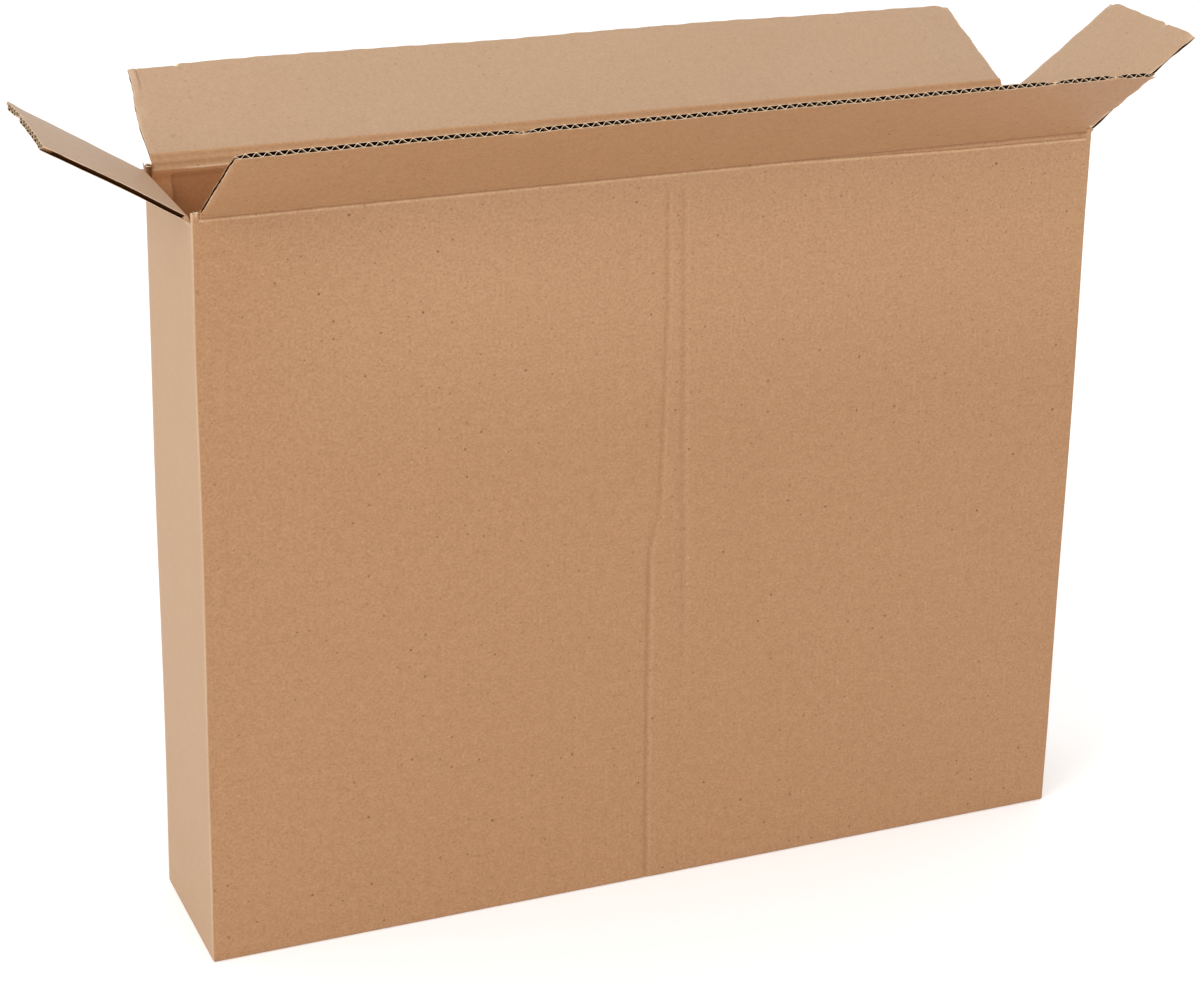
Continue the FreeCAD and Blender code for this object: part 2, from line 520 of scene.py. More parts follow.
# Two old fold marks on the front wall: the left one jogs sideways at mid height, and the right
# one fades out below it. Both are pressed in, and their shading is painted as well: shade down
# each groove and a highlight beside it.
left_deepest = 0.00052
right_deepest = 0.00036
height = walls_near[..., 2]
across = walls_near[..., 0]
front_face = walls_near[..., 1] < -half_depth + 0.003
left_mark = np.interp(
    height,
    [0.0, 0.011, 0.15, 0.285, 0.316, 0.40, 0.485, 0.58],
    [-0.0064, -0.0064, -0.0082, -0.0097, -0.0023, -0.0008, 0.0002, -0.0025],
)
right_mark = np.interp(
    height, [0.0, 0.22, 0.35, 0.483, 0.58], [0.022, 0.0205, 0.0165, 0.0133, 0.0104]
)
left_depth = np.interp(
    height, [0.0, 0.27, 0.32, 0.58], [left_deepest, left_deepest, 0.00036, 0.00032]
)
right_depth = np.interp(height, [0.0, 0.17, 0.26, 0.58], [0.0, 0.00004, right_deepest, 0.00034])
left_groove = bell(across - left_mark, 0.0019)
right_groove = bell(across - right_mark, 0.0022)
between = soft_step((across - left_mark) / 0.004) * soft_step((right_mark - across) / 0.004)
top_fade = soft_step((0.582 - height) / 0.02)
press = (left_groove * left_depth + right_groove * right_depth - between * 0.00018) * top_fade
walls_near[..., 1] += np.where(front_face, press, 0.0)
left_share = left_depth / left_deepest
right_share = right_depth / right_deepest
left_mark_shading = left_share * (0.10 * bell(across - left_mark - 0.0034, 0.0016) - 0.23 * left_groove)
right_mark_shading = right_share * (0.07 * bell(across - right_mark - 0.0038, 0.0018) - 0.13 * right_groove)
marks_shading = (left_mark_shading + right_mark_shading) * top_fade
# Painted light on the upper part of the front wall, fading out towards its left end.
top_painted_light = 0.18 * soft_step((height - 0.36) / 0.20) * soft_step((across + 0.38) / 0.22)
front_painted_light = np.where(front_face, marks_shading + top_painted_light, 0.0)
# The outside of the walls takes the painted highlights round the corners and on the front wall, and
# the pale torn paper along the post tops.
walls_wear_and_light = corner_highlight_line[None, :] * (0.8 + 0.2 * np.sin(37.0 * height + 90.0 * across)) + front_painted_light
walls_wear_and_light = walls_wear_and_light + 0.5 * bell(height - post_top, 0.0016)
# Painted shade inside the walls, deeper on the inner faces of the corner posts.
inside_painted_shade = np.where(walls_far[..., 2] > sides["left_flap"]["crease"] - 0.004, -0.30, -0.10)

sheet_outer = np.stack(
    [np.repeat(flat_line[None, :], len(walls_near), axis=0), height, 0.0 * height], axis=-1
)
sheet_inner = np.stack(
    [
        np.repeat(flat_line[None, :], len(walls_far), axis=0),
        walls_far[..., 2],
        inner_layer + 0.0 * height,
    ],
    axis=-1,
)
wall_papers = [outside_paper, inside_paper, cut_paper, short_wall_sheen_paper, slot_cut_shade_paper]
carton_walls = closed_sheet(
    "carton_walls",
    walls_near,
    walls_far,
    sheet_outer,
    sheet_inner,
    wall_papers,
    [walls_wear_and_light, inside_painted_shade],
    ring=True,
)
# The short walls take a paler, less saturated copy of the outside paper, a painted sheen, and the
# cuts down the sides of the slots are painted dark for the shade in their open flutes.
outside_index, _, cut_index, short_wall_sheen_index, slot_cut_shade_index = range(len(wall_papers))
for face in carton_walls.data.polygons:
    if face.material_index == outside_index and abs(face.normal.x) > 0.5:
        face.material_index = short_wall_sheen_index
    if face.material_index == cut_index and abs(face.normal.z) < 0.3:
        face.material_index = slot_cut_shade_index
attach(carton_walls, "carton_body")
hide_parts("carton_body")

# The bottom is closed by four flaps of the same sheet, folded in and glued: the long back one
# lies outermost, the long front one on it, and the two short ones inside on top of both.
bottom_reach = 0.109
cavity_half = half_length - board
cavity_depth = half_depth - board
side_gap = 0.001
pressed_edge = 0.0006
bottom_shift = 2.0


def bottom_panel(name, low_x, high_x, low_y, high_y, layer):
    """A flat panel of board with softly pressed edges, on its layer counted from the floor."""
    edge_steps = pressed_edge * np.array([0.0, 0.35, 1.0])
    xs, ys = (
        np.concatenate([
            low + edge_steps, np.linspace(low + 0.01, high - 0.01, steps), (high - edge_steps)[::-1]
        ])
        for low, high, steps in ((low_x, high_x, 30), (low_y, high_y, 10))
    )
    grid_x, grid_y = np.meshgrid(xs, ys)
    edge = np.minimum.reduce([grid_x - low_x, high_x - grid_x, grid_y - low_y, high_y - grid_y])
    inset = np.maximum(pressed_edge - edge, 0.0)
    drop = pressed_edge - np.sqrt(np.maximum(pressed_edge**2 - inset**2, 0.0))
    z_low = layer * board
    under = np.stack([grid_x, grid_y, z_low + drop], axis=-1)
    over = np.stack([grid_x, grid_y, z_low + board - drop], axis=-1)
    flat = np.stack([grid_x + bottom_shift, grid_y, 0.0 * grid_x + z_low * 40.0], axis=-1)
    wear = 0.4 * bell(edge, 0.002)
    panel = closed_sheet(
        name, under, over, flat, flat + 0.37, [outside_paper, inside_paper, cut_paper], [wear, wear]
    )
    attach(panel, "carton_body")


front_half = cavity_half - side_gap
short_half = cavity_depth - side_gap
back_edge = cavity_depth - bottom_reach
short_edge = cavity_half - bottom_reach
bottom_panel("bottom_flap_back", -cavity_half, cavity_half, back_edge, cavity_depth, 0)
bottom_panel("bottom_flap_front", -front_half, front_half, -cavity_depth, -back_edge, 1)
bottom_panel("bottom_flap_left", -cavity_half, -short_edge, -short_half, short_half, 2)
bottom_panel("bottom_flap_right", short_edge, cavity_half, -short_half, short_half, 2)

# The glue tab is a narrow strip of the left wall that is folded round the back left corner and
# glued flat to the inside of the back wall.
tab_width = 0.015
tab_shift = 3.0
tab_low = 2.0 * board
tab_high = sides["back_flap"]["crease"] - 0.0085
tab_xs = np.array([0.0, 0.002, 0.006, 0.010, 0.013, 0.0142, 0.0148, tab_width]) - cavity_half
tab_zs = np.concatenate([
    [tab_low, tab_low + 0.0005],
    np.linspace(0.02, tab_high - 0.012, 50),
    tab_high - np.array([0.006, 0.002, 0.0005, 0.0]),
])
tab_x, tab_z = np.meshgrid(tab_xs, tab_zs)
tab_side = tab_width - cavity_half - tab_x
tab_edge = np.minimum(tab_side, tab_high - tab_z)
tab_crush = soft_step((tab_z - tab_high + 0.013) / 0.008)
tab_sink = 0.0005 * bell(tab_edge, 0.0006) * (1.0 - tab_crush) + 0.0034 * tab_crush
tab_front = np.stack([tab_x, cavity_depth - board + tab_sink, tab_z], axis=-1)
tab_back = np.stack([tab_x, cavity_depth + 0.0002 + 0.0 * tab_x, tab_z], axis=-1)
tab_flat = np.stack([tab_x + tab_shift, tab_z, 0.6 + 0.0 * tab_x], axis=-1)
# The tab's face is painted a little shaded, with a painted shadow along its free edge.
glue_tab = closed_sheet(
    "glue_tab",
    settled(tab_front),
    settled(tab_back),
    tab_flat,
    tab_flat + 0.2,
    [inside_paper, outside_paper, inside_paper],
    [-0.05 - 0.30 * bell(tab_side, 0.0008), 0.0 * tab_edge],
)
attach(glue_tab, "carton_body")

# Four top flaps of double-faced board: an outer and an inner liner with a wavy medium between
# them. They lean outwards, and their cut edges show the flutes. Handling has left dents,
# crushed corners and ragged paper along the edges.
flap_start = 0.0055
liner = 0.0004
medium = 0.0003
medium_start = 0.006
medium_rows = 14
steps_per_flute = 10
medium_layer = 0.8
medium_shift = 5.0
# How far the cut side edges are pressed shut, at the low and the high end of the crease.
pinch = {
    "front_flap": (0.50, 0.80),
    "back_flap": (0.55, 0.70),
    "left_flap": (0.40, 0.10),
    "right_flap": (0.85, 0.40),
}
# Each dent: along and out from the crease, its reach both ways, how far it crushes the board,
# how far it bends it outwards and how far it pulls the free edge back.
dents = {
    "front_flap": [
        (-0.353, 0.112, 0.005, 0.008, 0.34, 0.0004, 0.0006),
        (-0.151, 0.113, 0.0085, 0.010, 0.62, 0.0008, 0.0013),
        (0.267, 0.113, 0.0055, 0.006, 0.86, 0.0003, 0.0006),
        (0.319, 0.113, 0.0065, 0.006, 0.80, -0.0004, 0.0008),
        (0.351, 0.112, 0.005, 0.007, 0.36, 0.0008, 0.0008),
        (0.354, 0.060, 0.006, 0.012, 0.30, 0.0007, 0.0),
    ],
    "back_flap": [
        (0.356, 0.107, 0.006, 0.022, 0.34, -0.0009, -0.0004),
        (0.3465, 0.100, 0.0016, 0.014, 0.20, 0.0007, 0.0),
        (0.309, 0.109, 0.003, 0.008, 0.60, -0.0008, 0.0010),
        (0.353, 0.055, 0.010, 0.016, 0.30, -0.0007, 0.0),
        (-0.352, 0.109, 0.007, 0.007, 0.40, -0.0006, 0.0030),
    ],
    "left_flap": [
        (-0.020, 0.117, 0.006, 0.008, 0.60, -0.0010, 0.0012),
        (-0.057, 0.117, 0.006, 0.006, 0.40, -0.0014, 0.0006),
    ],
    "right_flap": [
        (-0.058, 0.116, 0.006, 0.008, 0.45, 0.0010, 0.0010),
        (-0.020, 0.117, 0.003, 0.006, 0.50, 0.0004, 0.0010),
        (0.059, 0.116, 0.006, 0.006, 0.50, 0.0, 0.0030),
    ],
}
# Old folds and dents on the inside of a flap, shown by painted light and shade: place, reach
# both ways, and how pale or dark.
fold_light_and_shade = {
    "back_flap": [
        (0.3470, 0.097, 0.0010, 0.013, -0.42),
        (0.3510, 0.099, 0.0022, 0.014, 0.24),
        (0.3430, 0.100, 0.0026, 0.012, -0.10),
        (0.3540, 0.108, 0.0012, 0.0016, -0.60),
        (0.3080, 0.104, 0.0014, 0.0013, -0.60),
        (0.3180, 0.0395, 0.0012, 0.0011, -0.45),
        (0.3330, 0.0240, 0.0010, 0.0010, -0.40),
    ],
}
# Corners that are crumpled inwards: where they are along the crease and how far they give way.
pulled_corners = {"back_flap": (0.354, 0.0075), "front_flap": (-0.354, -0.0008)}
# How far each flap bows by itself, away from the flaps that it closes on: outwards above 0.
own_bow = {"front_flap": 0.0, "back_flap": 0.0006, "left_flap": -0.0005, "right_flap": -0.0005}
# Steps in a cut edge: where the blank's edge drops back, and by how much.
setbacks = {"back_flap": (0.307, 0.0020), "right_flap": (0.030, -0.0004)}


def flap_place(name, along, out, depth):
    """World places of points on a flap: along its crease, out from it and through the board.

    All flaps share one shallow sag over the plan of the closed carton, and each bows further only
    away from the flap that it closes over or under, so that they still lie flat on one another.
    """
    side = sides[name]
    length = blank_top - side["crease"]
    half = side["half"] - slot_half - slot_gap
    free = soft_step((out - 0.008) / 0.05)
    seed = side["turn"]
    closed_at = in_place(side, along, out, 0.0)
    plan_x, plan_y = closed_at[..., 0], closed_at[..., 1]
    inside_plan = soft_step((half_length - np.abs(plan_x)) / 0.06)
    inside_plan = inside_plan * soft_step((half_depth - np.abs(plan_y)) / 0.045)
    long_ripple = 0.3 * np.sin(23.0 * plan_x + 11.0 * plan_y)
    short_ripple = 0.2 * np.sin(47.0 * plan_x - 18.0 * plan_y)
    bow = -0.0014 * inside_plan * (0.5 + (long_ripple + short_ripple))
    bow = bow + own_bow[name] * free * (1.0 + np.sin(along * 17.0 + out * 26.0 + seed))
    crush = 0.0 * along
    retreat = 0.0 * along
    near_edge = soft_step((out - length + 0.012) / 0.012)
    for at_along, at_out, reach_along, reach_out, squeeze, bend, pull in dents[name]:
        pressed = bell(along - at_along, reach_along) * bell(out - at_out, reach_out)
        crush = np.maximum(crush, squeeze * pressed)
        bow = bow + bend * pressed
        retreat = retreat + pull * bell(along - at_along, reach_along * 0.7) * near_edge
    ragged = soft_step((out - length + 0.004) / 0.004)
    retreat = retreat + ragged * 0.00025 * (
        np.sin(along * 310.0 + depth * 900.0) + np.sin(along * 173.0 + 1.0)
    )
    if name in setbacks:
        step_at, step_back = setbacks[name]
        retreat = retreat + ragged * step_back * soft_step((along - step_at) / 0.003)
    low_pinch, high_pinch = pinch[name]
    near_side = soft_step((np.abs(along) - half + 0.005) / 0.005)
    uneven = 0.75 + 0.25 * np.sin(out * 210.0 + seed)
    crush = np.maximum(crush, near_side * uneven * np.where(along > 0, high_pinch, low_pinch))
    side_edge = soft_step((np.abs(along) - half + 0.006) / 0.006) * np.sign(along)
    sideways = side_edge * 0.00018 * (np.sin(out * 160.0 + seed) + np.sin(out * 530.0) - 2.0)
    if name in pulled_corners:
        pulled_at, pulled_by = pulled_corners[name]
        far_out = soft_step((out - 0.3 * length) / length * 1.4)
        sideways = sideways - pulled_by * far_out * bell(along - pulled_at, 0.02)
    thick = board / 2 + (depth - board / 2) * (1.0 - crush) - bow
    out = out - retreat
    along = along + sideways * free
    inward = thick * math.cos(side["lean"]) - out * math.sin(side["lean"])
    up = thick * math.sin(side["lean"]) + out * math.cos(side["lean"])
    return in_place(side, along, inward, side["crease"] + up)


# The paler, greyer copy of the inner liner, which paints the light on the inner faces of the flaps.
flap_inside_lit_paper = kraft_paper(
    "kraft_flap_inside", (0.425, 0.254, 0.134), (0.70, 0.52, 0.35), grain=0.55, speck=0.6,
    rough=0.50, gloss=0.95,
)
medium_paper = kraft_paper(
    "kraft_medium", (0.30, 0.16, 0.07), (0.66, 0.50, 0.33), grain=0.3, speck=0.0, flute=0.0,
    gloss=0.0,
)


def medium_tree():
    """Geometry nodes for the wavy paper between the liners, flat on the board's own axes."""
    tree = bpy.data.node_groups.new("corrugated_medium", "GeometryNodeTree")
    tree.is_modifier = True
    sizes = (
        ("Width", "NodeSocketFloat", 0.7),
        ("Length", "NodeSocketFloat", 0.1),
        ("Flutes", "NodeSocketInt", 91),
        ("Wave Height", "NodeSocketFloat", 0.00147),
        ("Board Middle", "NodeSocketFloat", board / 2),
        ("Crease Side", "NodeSocketFloat", medium_start),
        ("Rows", "NodeSocketInt", medium_rows),
        ("Steps per Flute", "NodeSocketInt", steps_per_flute),
        ("Paper", "NodeSocketMaterial", None),
    )
    for label, kind, value in sizes:
        socket = tree.interface.new_socket(name=label, in_out="INPUT", socket_type=kind)
        if value is not None:
            socket.default_value = value
    tree.interface.new_socket(name="Mesh", in_out="OUTPUT", socket_type="NodeSocketGeometry")
    entry = tree.nodes.new("NodeGroupInput")
    given = {label: Term(tree, entry.outputs[label]) for label, _, _ in sizes}
    start = Term(tree)
    grid_sizes = {
        "Size X": given["Width"],
        "Size Y": given["Length"],
        "Vertices X": given["Flutes"] * given["Steps per Flute"] + 1.0,
        "Vertices Y": given["Rows"],
    }
    grid = start.node("GeometryNodeMeshGrid", None, grid_sizes)
    place = start.node("GeometryNodeInputPosition")
    along = start.node("ShaderNodeSeparateXYZ", None, {0: place}, output=0)
    out = start.node("ShaderNodeSeparateXYZ", None, {0: place}, output=1)
    turns = along * given["Flutes"] / given["Width"]
    wave = turns.maths("COSINE", turns * (2.0 * math.pi) + math.pi * given["Flutes"])
    depth = given["Board Middle"] + wave * given["Wave Height"]
    rise = out + given["Length"] * 0.5 + given["Crease Side"]
    waved_place = start.node("ShaderNodeCombineXYZ", None, {0: along, 1: depth, 2: rise})
    waved = start.node("GeometryNodeSetPosition", None, {"Geometry": grid, "Position": waved_place})
    real = start.node("GeometryNodeRealizeInstances", None, {0: waved})
    papered = start.node(
        "GeometryNodeSetMaterial", None, {"Geometry": real, "Material": given["Paper"]}
    )
    leave = tree.nodes.new("NodeGroupOutput")
    tree.links.new(papered.socket, leave.inputs["Mesh"])
    return tree


corrugation = medium_tree()


def flap_medium(name, width, length):
    """The wavy medium of one flap as a closed thin sheet, bent with its board."""
    flutes = int(round(width / flute_pitch))
    carrier = bpy.data.objects.new(name + "_medium", bpy.data.meshes.new(name + "_medium_seed"))
    scene.collection.objects.link(carrier)
    modifier = carrier.modifiers.new("flutes", "NODES")
    modifier.node_group = corrugation
    settings = {
        "Width": width,
        "Length": length - medium_start,
        "Flutes": flutes,
        "Paper": medium_paper,
    }
    for item in corrugation.interface.items_tree:
        if item.item_type == "SOCKET" and item.in_out == "INPUT" and item.name in settings:
            modifier[item.identifier] = settings[item.name]
    thickness = carrier.modifiers.new("paper_thickness", "SOLIDIFY")
    thickness.thickness = medium
    thickness.offset = 0.0
    evaluated = carrier.evaluated_get(bpy.context.evaluated_depsgraph_get())
    mesh = bpy.data.meshes.new_from_object(evaluated)
    carrier.modifiers.clear()
    points = np.zeros(len(mesh.vertices) * 3)
    mesh.vertices.foreach_get("co", points)
    points = points.reshape(-1, 3)
    flat = sheet_place(sides[name], points[:, 0] + medium_shift, points[:, 2], medium_layer)
    placed = flap_place(name, points[:, 0], points[:, 2], points[:, 1])
    mesh.vertices.foreach_set("co", placed.ravel())
    mesh.materials.clear()
    mesh.materials.append(medium_paper)
    mesh.materials.append(cut_paper)
    wide_faces = 2 * flutes * steps_per_flute * (medium_rows - 1)
    papers = [0] * wide_faces + [1] * (len(mesh.polygons) - wide_faces)
    mesh.polygons.foreach_set("material_index", papers)
    # The medium is painted dark for the shade inside the flutes, and stays pale only within a short
    # way of its free cut edge.
    shade = mesh.attributes.new("wear", "FLOAT", "POINT")
    amounts = 0.5 - 1.47 * soft_step((length - points[:, 2]) / 0.0008)
    shade.data.foreach_set("value", amounts.astype(np.float32))
    sheet = mesh.attributes.new("sheet", "FLOAT_VECTOR", "POINT")
    sheet.data.foreach_set("vector", flat.astype(np.float32).ravel())
    mesh.shade_smooth()
    mesh.set_sharp_from_angle(angle=math.radians(50.0))
    mesh.update()
    carrier.data = mesh
    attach(carrier, name)


def flap_liner(name, part, near_depth, far_depth, finishes, width, length):
    """One liner of a flap: a thin closed sheet from the crease to the cut edge."""
    columns = [np.linspace(-width / 2, width / 2, int(round(width / 0.0036)) + 1)]
    for at_along, _, reach_along, *_ in dents[name]:
        columns.append(at_along + reach_along * np.linspace(-1.6, 1.6, 11))
    columns.append(np.array([-1.0, 1.0]) * (width / 2 - 0.0006))
    columns.append(np.array([-1.0, 1.0]) * (width / 2 - 0.0016))
    columns = np.unique(np.concatenate(columns).round(5))
    columns = columns[np.abs(columns) < width / 2 + 0.00001]
    rows = np.concatenate([
        np.linspace(flap_start, length - 0.027, int(round(length / 0.005))),
        np.linspace(length - 0.024, length - 0.008, 9),
        length - np.array([0.006, 0.004, 0.0025, 0.0012, 0.0006, 0.0]),
    ])
    along, out = np.meshgrid(columns, rows)
    near = flap_place(name, along, out, near_depth + 0.0 * along)
    far = flap_place(name, along, out, far_depth + 0.0 * along)
    layer = outer_layer if part == "outer_liner" else inner_layer
    flat = sheet_place(sides[name], along, out + sides[name]["crease"], layer)
    from_side = width / 2 - np.abs(along)
    from_end = length - out
    uneven = 0.6 + 0.4 * np.sin(240.0 * along + 130.0 * out)
    wear = (0.75 * bell(from_side, 0.0011) + 0.2 * bell(from_end, 0.0010)) * uneven
    for at_along, at_out, reach_along, reach_out, squeeze, *_ in dents[name]:
        paled = bell(along - at_along, reach_along * 0.7) * bell(out - at_out, reach_out * 0.6)
        wear = wear + 0.7 * squeeze * paled
    # On the inner liner the old folds and dents are painted in as light and shade.
    if part == "inner_liner":
        for at_along, at_out, reach_along, reach_out, amount in fold_light_and_shade.get(name, ()):
            wear = wear + amount * bell(along - at_along, reach_along) * bell(out - at_out, reach_out)
    wear = np.clip(wear, -0.9, 1.0)
    # The liner faces towards the medium are painted dark for the shade inside the flutes, and pale
    # right at the cut edges.
    inside_shade = 0.75 - 1.72 * soft_step(np.minimum(from_side, from_end) / 0.0006)
    piece = closed_sheet(name + "_" + part, near, far, flat, flat, finishes, [wear, inside_shade])
    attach(piece, name)
    return piece


for flap_name, side in sides.items():
    flap_width = 2.0 * (side["half"] - slot_half - slot_gap)
    flap_length = blank_top - side["crease"]
    flap_paper = short_wall_sheen_paper if side["half"] < half_length else outside_paper
    outer_papers = [flap_paper, medium_paper, flap_inside_lit_paper]
    inner_papers = [flap_inside_lit_paper, medium_paper, flap_inside_lit_paper]
    outer_liner = flap_liner(
        flap_name, "outer_liner", 0.0, liner, outer_papers, flap_width, flap_length
    )
    flap_liner(
        flap_name, "inner_liner", board, board - liner, inner_papers, flap_width, flap_length
    )
    flap_medium(flap_name, flap_width, flap_length)
    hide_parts(flap_name)

# The creases: the board is crushed along a scored line, so that the liners run on unbroken from
# the wall to the flap with almost nothing between them. Each strip is bent once, to its flap's lean.
crease_thickness = 0.0011
# A copy of the inner liner toned between the lit flap paper and the shaded inside paper, for the half
# lit crease.
crease_inside_half_lit_paper = kraft_paper(
    "kraft_crease_inside", (0.455, 0.246, 0.112), (0.70, 0.52, 0.35), grain=0.6, speck=0.6
)


def crease_strip(name):
    """The crushed board across one crease, from inside the wall to inside the flap."""
    side = sides[name]
    lean = side["lean"]
    wall_paper = short_wall_sheen_paper if side["half"] < half_length else outside_paper
    width = 2.0 * (side["half"] - slot_half - slot_gap)
    columns = np.linspace(-width / 2, width / 2, int(round(width / 0.005)) + 1)
    # Rows across the crease: those below 0 lie on the wall and those above 0 on the flap.
    outer_reach = np.concatenate([
        np.array([-0.0076, -0.0070, -0.0066]),
        np.arange(-0.0062, 0.0013, 0.0003),
        np.array([0.0016, 0.0020, 0.0026, 0.0033, 0.0040, 0.0048, 0.0054, 0.0058, 0.0062]),
    ])
    inner_reach = np.interp(
        np.linspace(0.0, 1.0, len(outer_reach)),
        [0.0, 0.06, 0.14, 0.30, 0.48, 0.62, 0.82, 1.0],
        [-0.0105, -0.0097, -0.0080, -0.0058, -0.0042, -0.0008, 0.0030, 0.0062],
    )
    along, outer_rise = np.meshgrid(columns, outer_reach)
    inner_rise = np.repeat(inner_reach[:, None], len(columns), axis=1)
    # Below the crease the strip closes up against the corner posts.
    beside_post = soft_step((-0.0004 - outer_rise) / 0.0006)
    along = along * (1.0 + (slot_gap + 0.0001) / (width / 2) * beside_post)

    def bent(rise, depth, spread):
        """Follows the wall below the crease and the flap above it, with a smooth turn."""
        turn = soft_step((rise + spread) / (2.0 * spread))
        flap_in = depth * math.cos(lean) - rise * math.sin(lean)
        flap_up = depth * math.sin(lean) + rise * math.cos(lean)
        inward = (1.0 - turn) * depth + turn * flap_in
        up = (1.0 - turn) * rise + turn * flap_up
        return in_place(side, along, inward, side["crease"] + up)

    flap_tuck = soft_step((outer_rise - 0.0052) / 0.0004)
    wall_tuck = soft_step((-0.0068 - outer_rise) / 0.0006)
    score = 0.0003 * bell(outer_rise, 0.0006)
    # The right half of the front crease is scored twice. The second score ends in a small hook.
    second = np.zeros_like(along)
    second_mark = np.zeros_like(along)
    if name == "front_flap":
        second = np.interp(along, [0.09, 0.24, 0.354], [0.0, 0.0034, 0.0042])
        doubled = soft_step((along - 0.10) / 0.05)
        second_mark = bell(outer_rise + second, 0.0005) * doubled
        hook = bell(along - 0.3495, 0.0008) * (outer_rise < 0.0) * (outer_rise > -second)
        second_mark = np.maximum(second_mark, hook * 0.8)
    fray = 0.75 + 0.25 * np.sin(along * 210.0 + 1.0) * np.sin(along * 87.0)
    lip_at = bell(outer_rise + 0.0017 + second, 0.0010)
    tuck = 0.00010 * (flap_tuck + wall_tuck)
    outer_depth = tuck + score + 0.0004 * second_mark - 0.00024 * lip_at * fray
    wall_thick = soft_step((-inner_rise - 0.0002) / 0.0078)
    flap_thick = soft_step((inner_rise - 0.0002) / 0.0048)
    opening = np.where(inner_rise < 0, wall_thick, flap_thick)
    thick = crease_thickness + (board - crease_thickness) * opening
    inner_lip = 0.00025 * bell(inner_rise + 0.0050, 0.0007)
    flap_end = soft_step((inner_rise - 0.0054) / 0.0005)
    wall_end = soft_step((-0.0097 - inner_rise) / 0.0006)
    inner_depth = thick + inner_lip + 0.00004 - 0.00014 * (flap_end + wall_end)
    near = bent(outer_rise, outer_depth, 0.0011)
    far = bent(inner_rise, inner_depth, 0.0022)
    near_flat = sheet_place(side, along, outer_rise + side["crease"], outer_layer)
    far_flat = sheet_place(side, along, inner_rise + side["crease"], inner_layer)
    # Painted light and shade on the outer face: a highlight on the bulge below the crease, and shade
    # in the crease and in the second score.
    near_light_and_shade = 0.62 * lip_at * fray - 0.34 * bell(outer_rise, 0.0007) - 0.26 * second_mark
    if name == "front_flap":
        # The painted light of the upper front wall runs on into the crease below the flap.
        crease_painted_light = 0.18 * soft_step((along + 0.38) / 0.22)
        near_light_and_shade = near_light_and_shade + crease_painted_light * soft_step((-0.001 - outer_rise) / 0.002)
    # Painted light and shade on the inner face: an uneven highlight along the lip, faint shade just
    # above the crease line, and shade on the wall below the lip.
    lip_unevenness = np.clip(0.55 + 0.6 * np.sin(along * 61.0 + 2.0) + 0.4 * np.sin(along * 143.0), 0.0, 1.0)
    far_light_and_shade = (
        0.9 * bell(inner_rise + 0.0050, 0.0006) * lip_unevenness
        - 0.05 * bell(inner_rise - 0.0006, 0.0007)
        - 0.22 * soft_step((-0.0052 - inner_rise) / 0.0008)
    )
    papers = [wall_paper, crease_inside_half_lit_paper, wall_paper, inside_paper]
    strip = closed_sheet(
        name + "_crease", near, far, near_flat, far_flat, papers, [near_light_and_shade, far_light_and_shade]
    )
    face_columns = len(columns) - 1
    first_far = (len(outer_reach) - 1) * face_columns
    below_lip = int((inner_reach < -0.0054).sum()) * face_columns
    for face in range(first_far, first_far + below_lip):
        strip.data.polygons[face].material_index = papers.index(inside_paper)
    middle = Vector(in_place(side, 0.0, 0.0, side["crease"]))
    outward = Vector(in_place(side, 0.0, -1.0, side["crease"])) - middle
    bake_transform(strip)


for flap_name in sides:
    crease_strip(flap_name)

# Torn paper fibres stand out where the slots end at the corners and where the cut edge of a flap
# has been crushed. They are thin curled slivers of the same paper.
fibre_rng = np.random.default_rng(11)


def torn_fibres(name, node, spots, wild):
    """Small curled slivers in one closed mesh, more bent and askew the wilder they are.

    Each spot gives its place, direction, spread and number of slivers.
    """
    points = []
    faces = []
    for place, aim, spread, count in spots:
        for _ in range(count):
            root = np.array(place) + fibre_rng.normal(0.0, spread, 3)
            way = np.array(aim) + fibre_rng.normal(0.0, wild, 3)
            way = way / np.linalg.norm(way)
            curl = fibre_rng.normal(0.0, wild, 3)
            width_way = np.cross(way, fibre_rng.normal(0.0, 1.0, 3))
            width_way = width_way / np.linalg.norm(width_way)
            thick_way = np.cross(way, width_way)
            reach = fibre_rng.uniform(0.0010, 0.0026)
            girth = fibre_rng.uniform(0.00025, 0.00055)
            first = len(points)
            for share, size in ((-0.25, 0.8), (0.25, 1.0), (0.65, 0.7), (1.0, 0.15)):
                middle = root + way * reach * share + curl * reach * share * share * 0.5
                for wide, thick in ((1.0, 0.0), (-0.5, 0.45), (-0.5, -0.45)):
                    offset = (width_way * wide + thick_way * thick) * girth * size
                    points.append(middle + offset)
            for ring in range(3):
                low = first + 3 * ring
                for corner in range(3):
                    turned = (corner + 1) % 3
                    faces.append((low + corner, low + turned, low + 3 + turned, low + 3 + corner))
            faces.append((first + 2, first + 1, first))
            faces.append((first + 9, first + 10, first + 11))
    mesh = bpy.data.meshes.new(name)
    mesh.from_pydata([tuple(point) for point in points], [], faces)
    mesh.materials.append(cut_paper)
    sheet = mesh.attributes.new("sheet", "FLOAT_VECTOR", "POINT")
    sheet.data.foreach_set("vector", np.array(points, np.float32).ravel())
    piece = bpy.data.objects.new(name, mesh)
    scene.collection.objects.link(piece)
    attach(piece, node)


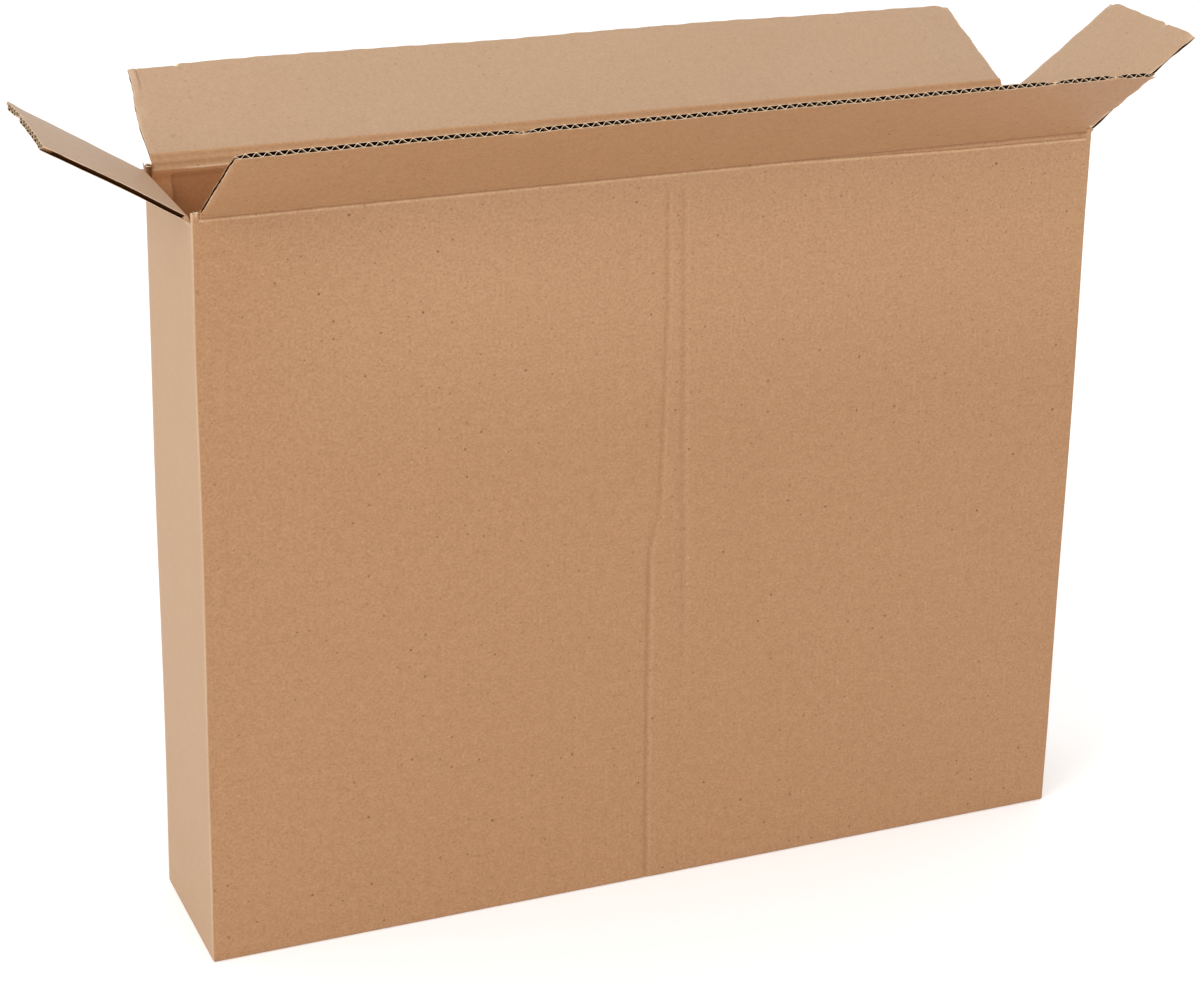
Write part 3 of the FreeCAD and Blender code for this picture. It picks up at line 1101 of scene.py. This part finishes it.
# Paper has peeled off at the top of the back left corner post. It stands against the outside of
# the post as a small stiff rag with pale torn edges, and curls outwards above it.
curl_across, curl_up = np.meshgrid(np.linspace(0.0, 1.0, 9), np.linspace(0.0, 1.0, 13))
curl_turn = curl_up * 0.6 * math.pi
curl_x = -half_length - 0.0005 - 0.0013 * (1.0 - np.cos(curl_turn)) * (0.5 + 0.5 * curl_across)
curl_y = half_depth + 0.0004 - 0.0049 * curl_across
curl_z = post_top - 0.0070 + 0.0084 * np.sin(curl_turn * 0.8) + 0.0005 * np.sin(7.0 * curl_across)
curl_near = np.stack([curl_x, curl_y, curl_z], axis=-1)
curl_through = np.stack([np.cos(curl_turn * 0.5), 0.0 * curl_y, np.sin(curl_turn * 0.5)], axis=-1)
curl_far = curl_near + 0.0004 * curl_through
curl_edge = np.minimum.reduce([curl_across, 1.0 - curl_across, 1.0 - curl_up])
# The rag's inner face is painted dark for the shade inside the curl, and pale along its torn edges.
curl_shade_and_edges = -0.74 + 1.5 * bell(curl_edge, 0.08)
post_curl = closed_sheet(
    "post_curl", curl_near, curl_far, curl_near, curl_far, [inside_paper, outside_paper, cut_paper],
    [curl_shade_and_edges, 0.3 + 0.0 * curl_shade_and_edges],
)
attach(post_curl, "carton_body")

post_spots = []
for x_side in (-1, 1):
    for y_side in (-1, 1):
        corner_x = x_side * (half_length - 0.0008)
        corner_y = y_side * (half_depth - 0.0008)
        post_tip = (corner_x - x_side * 0.0012, corner_y, post_top - 0.002)
        long_slot = (corner_x - x_side * 0.0046, corner_y, sides["front_flap"]["crease"] + 0.0006)
        short_slot = (corner_x, corner_y - y_side * 0.0046, sides["left_flap"]["crease"] + 0.0006)
        post_spots.append((post_tip, (0, 0, 1), 0.0009, 4))
        post_spots.append((long_slot, (0, y_side, 0.6), 0.0005, 4))
        post_spots.append((short_slot, (x_side, 0, 0.6), 0.0005, 3))
torn_fibres("corner_fibres", "carton_body", post_spots, 0.5)

for flap_name, side in sides.items():
    length = blank_top - side["crease"]
    edge_spots = []
    for at_along, at_out, _, _, squeeze, *_ in dents[flap_name]:
        if squeeze < 0.35:
            continue
        at_edge = np.array([min(at_out, length) - 0.0004])
        past_edge = np.array([length + 0.004])
        count = 7 if squeeze > 0.7 else 4
        for depth in (0.0017, 0.0024):
            place = flap_place(flap_name, np.array([at_along]), at_edge, depth)[0]
            beyond = flap_place(flap_name, np.array([at_along]), past_edge, depth)[0]
            aim = (beyond - place) / np.linalg.norm(beyond - place)
            edge_spots.append((tuple(place), tuple(aim), 0.0003, count))
    torn_fibres(flap_name + "_fibres", flap_name, edge_spots, 0.17)

bpy.context.view_layer.update()
